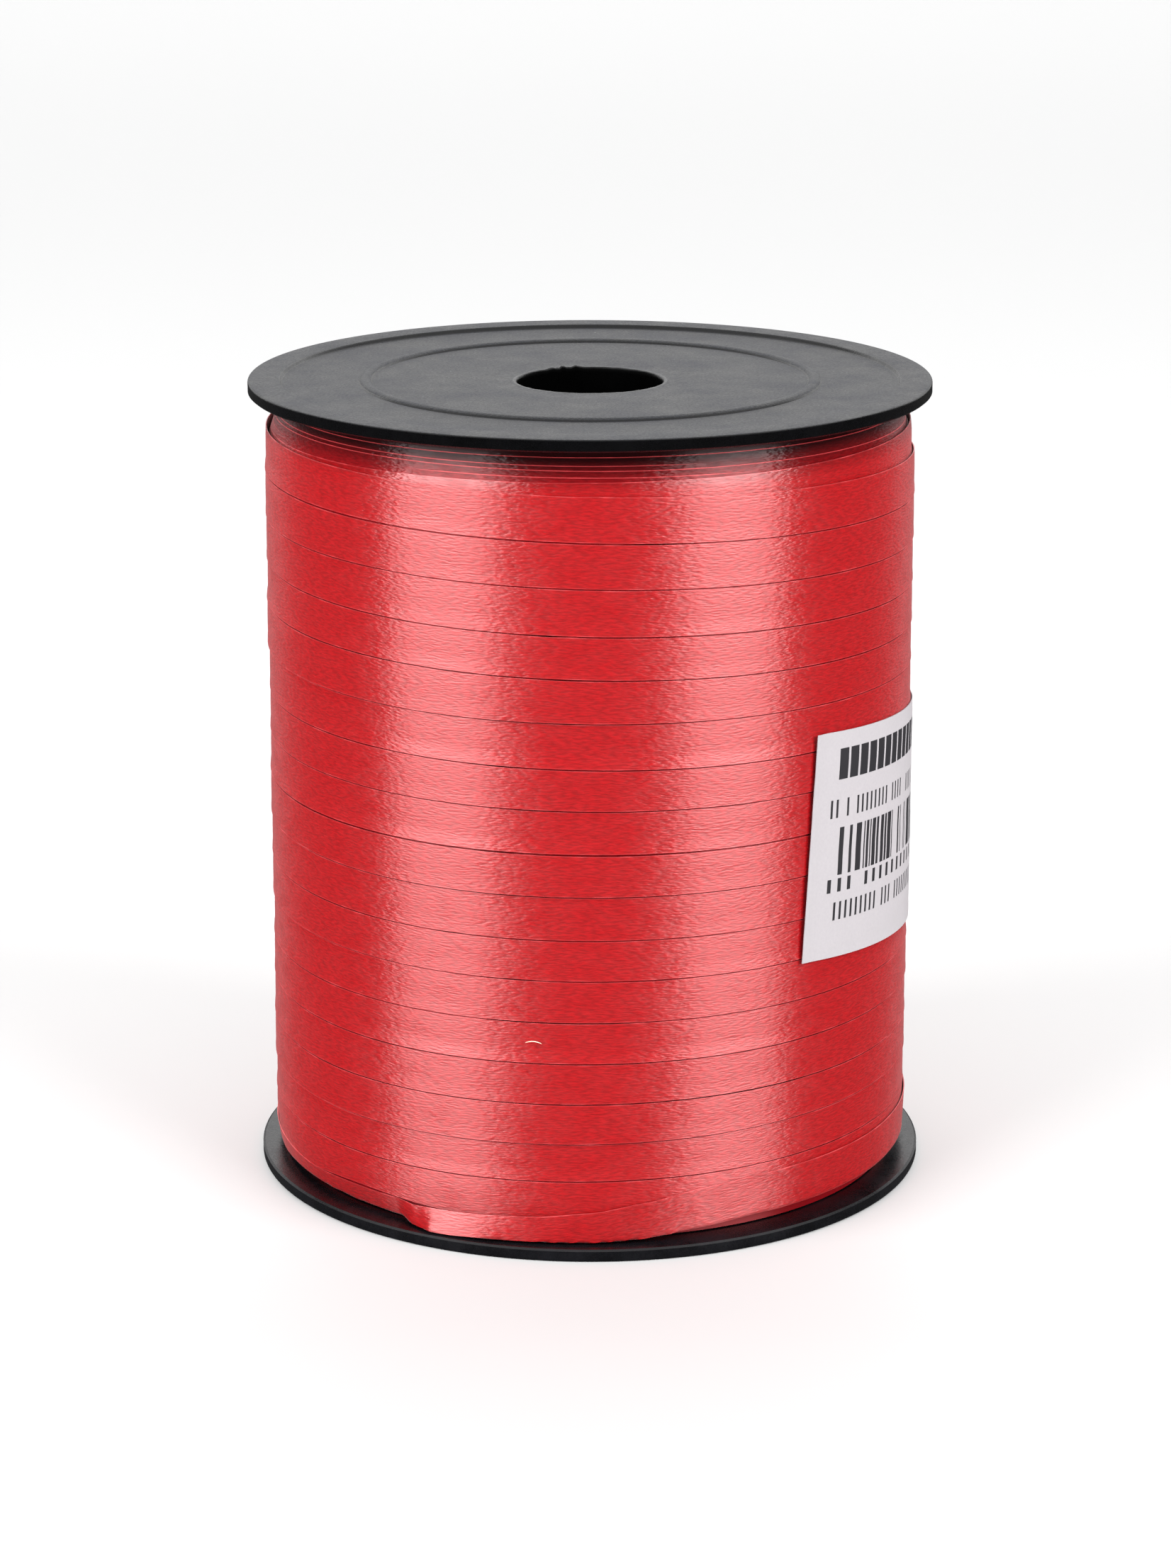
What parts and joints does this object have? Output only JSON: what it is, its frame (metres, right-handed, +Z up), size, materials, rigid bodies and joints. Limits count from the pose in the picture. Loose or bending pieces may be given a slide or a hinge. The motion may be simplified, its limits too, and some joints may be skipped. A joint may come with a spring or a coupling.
{
  "type": "ribbon spool",
  "caption": "Spool of curling ribbon: two round flanges pressed onto a core tube, ribbon wound between them, a paper label on the winding and an open bore for a peg.",
  "frame": {"origin": "centre of the face the spool stands on, on the spool's axis", "axes": "+Z up along the spool's axis, -Y towards the front, +X to the right"},
  "size_m": [0.082, 0.082, 0.0976],
  "materials": {
    "flange_plastic": "black injection-moulded polystyrene with a fine matt grain",
    "core_plastic": "black extruded tube, plain",
    "ribbon_red": "satin crimped polypropylene ribbon",
    "label_paper": "smooth white coated paper"
  },
  "bodies": {
    "root": {"bottom_flange": "flange_plastic", "top_flange": "flange_plastic", "core_tube": "core_plastic", "inner_winding": "ribbon_red", "outer_winding": "ribbon_red", "shoulder_winding": "ribbon_red", "loose_turn": "ribbon_red", "paper_label": "label_paper"}
  },
  "joints": []
}
